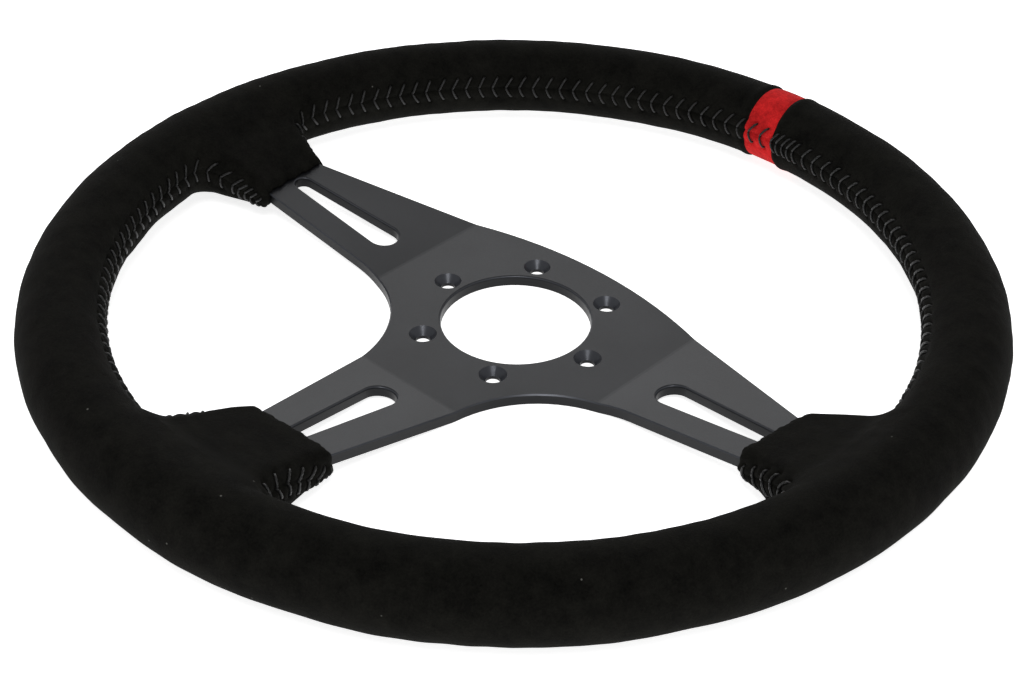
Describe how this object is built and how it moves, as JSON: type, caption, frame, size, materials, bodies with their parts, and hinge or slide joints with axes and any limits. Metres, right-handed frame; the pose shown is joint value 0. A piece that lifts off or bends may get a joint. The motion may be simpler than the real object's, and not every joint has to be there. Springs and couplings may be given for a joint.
{
  "type": "steering wheel",
  "caption": "Dished motorsport steering wheel with a suede-covered round rim, sewn pods on its slotted spokes, a red top marker and a flat bolt-on hub plate.",
  "frame": {"origin": "centre of the hub plate's rear mounting face, on the steering axis", "axes": "+Z along the steering axis towards the driver, +Y to the 12 o'clock marker, +X to 3 o'clock"},
  "size_m": [0.3526, 0.3526, 0.0332],
  "materials": {
    "anodised_plate": "fine satin, grey anodised aluminium with softly broken edges",
    "core_steel": "bare mild steel, welded",
    "rivet_steel": "plated steel",
    "moulded_foam": "black self-skinned polyurethane foam, matt",
    "black_suede": "black suede with a short soft nap, matt",
    "red_suede": "red suede with a short soft nap, matt",
    "waxed_thread": "dark grey waxed sewing thread, slightly glossy"
  },
  "bodies": {
    "root": {"spoke_plate": "anodised_plate", "rim_hoop": "core_steel", "hoop_tab_left": "core_steel", "hoop_tab_right": "core_steel", "hoop_tab_bottom": "core_steel", "spoke_rivets": "rivet_steel", "rim_foam": "moulded_foam", "cover_top_right": "black_suede", "cover_top_left": "black_suede", "pod_cover_left": "black_suede", "cover_lower_left": "black_suede", "pod_cover_bottom": "black_suede", "cover_lower_right": "black_suede", "pod_cover_right": "black_suede", "marker_band": "red_suede", "seam_thread_top_right": "waxed_thread", "seam_thread_marker": "waxed_thread", "seam_thread_top_left": "waxed_thread", "seam_thread_lower_left": "waxed_thread", "seam_thread_lower_right": "waxed_thread"}
  },
  "joints": []
}
